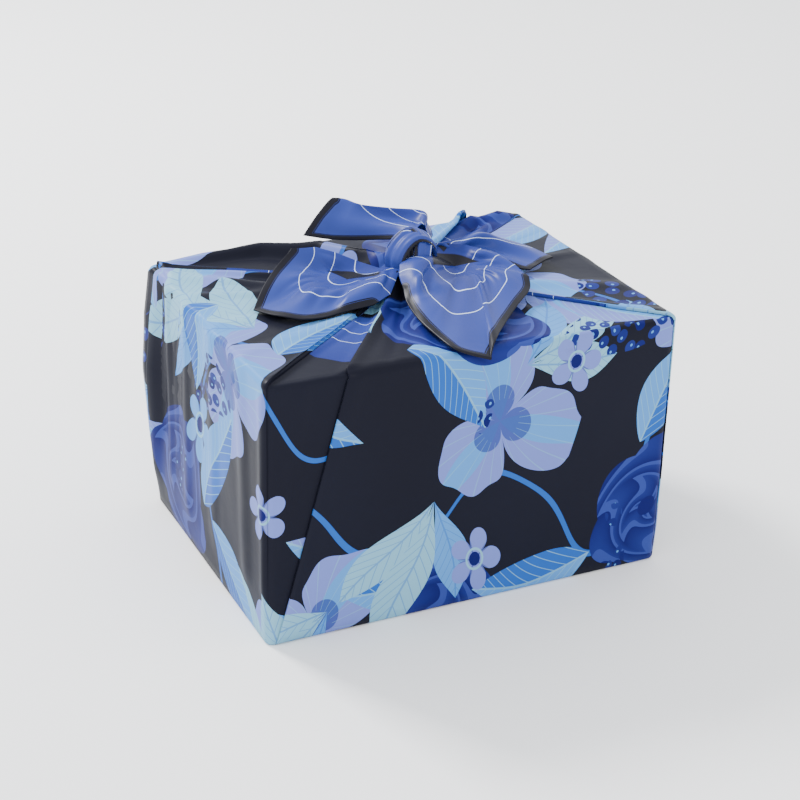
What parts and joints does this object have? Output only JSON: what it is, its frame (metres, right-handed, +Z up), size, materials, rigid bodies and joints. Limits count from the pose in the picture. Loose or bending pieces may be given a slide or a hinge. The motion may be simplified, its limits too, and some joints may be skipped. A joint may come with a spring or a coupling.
{
  "type": "furoshiki wrap on a box",
  "caption": "Square cloth folded round a closed rectangular box and tied on top in a knot with free corner tails.",
  "frame": {"origin": "centre of the wrapped box's footprint, on the surface it rests on", "axes": "+X along the long sides, with the front panel's face to -Y; +Z up through the knot"},
  "size_m": [0.3091, 0.243, 0.2351],
  "materials": {
    "cloth": "satin",
    "carton": "matte"
  },
  "bodies": {
    "root": {"wrap": "cloth", "box": "carton"}
  },
  "joints": []
}
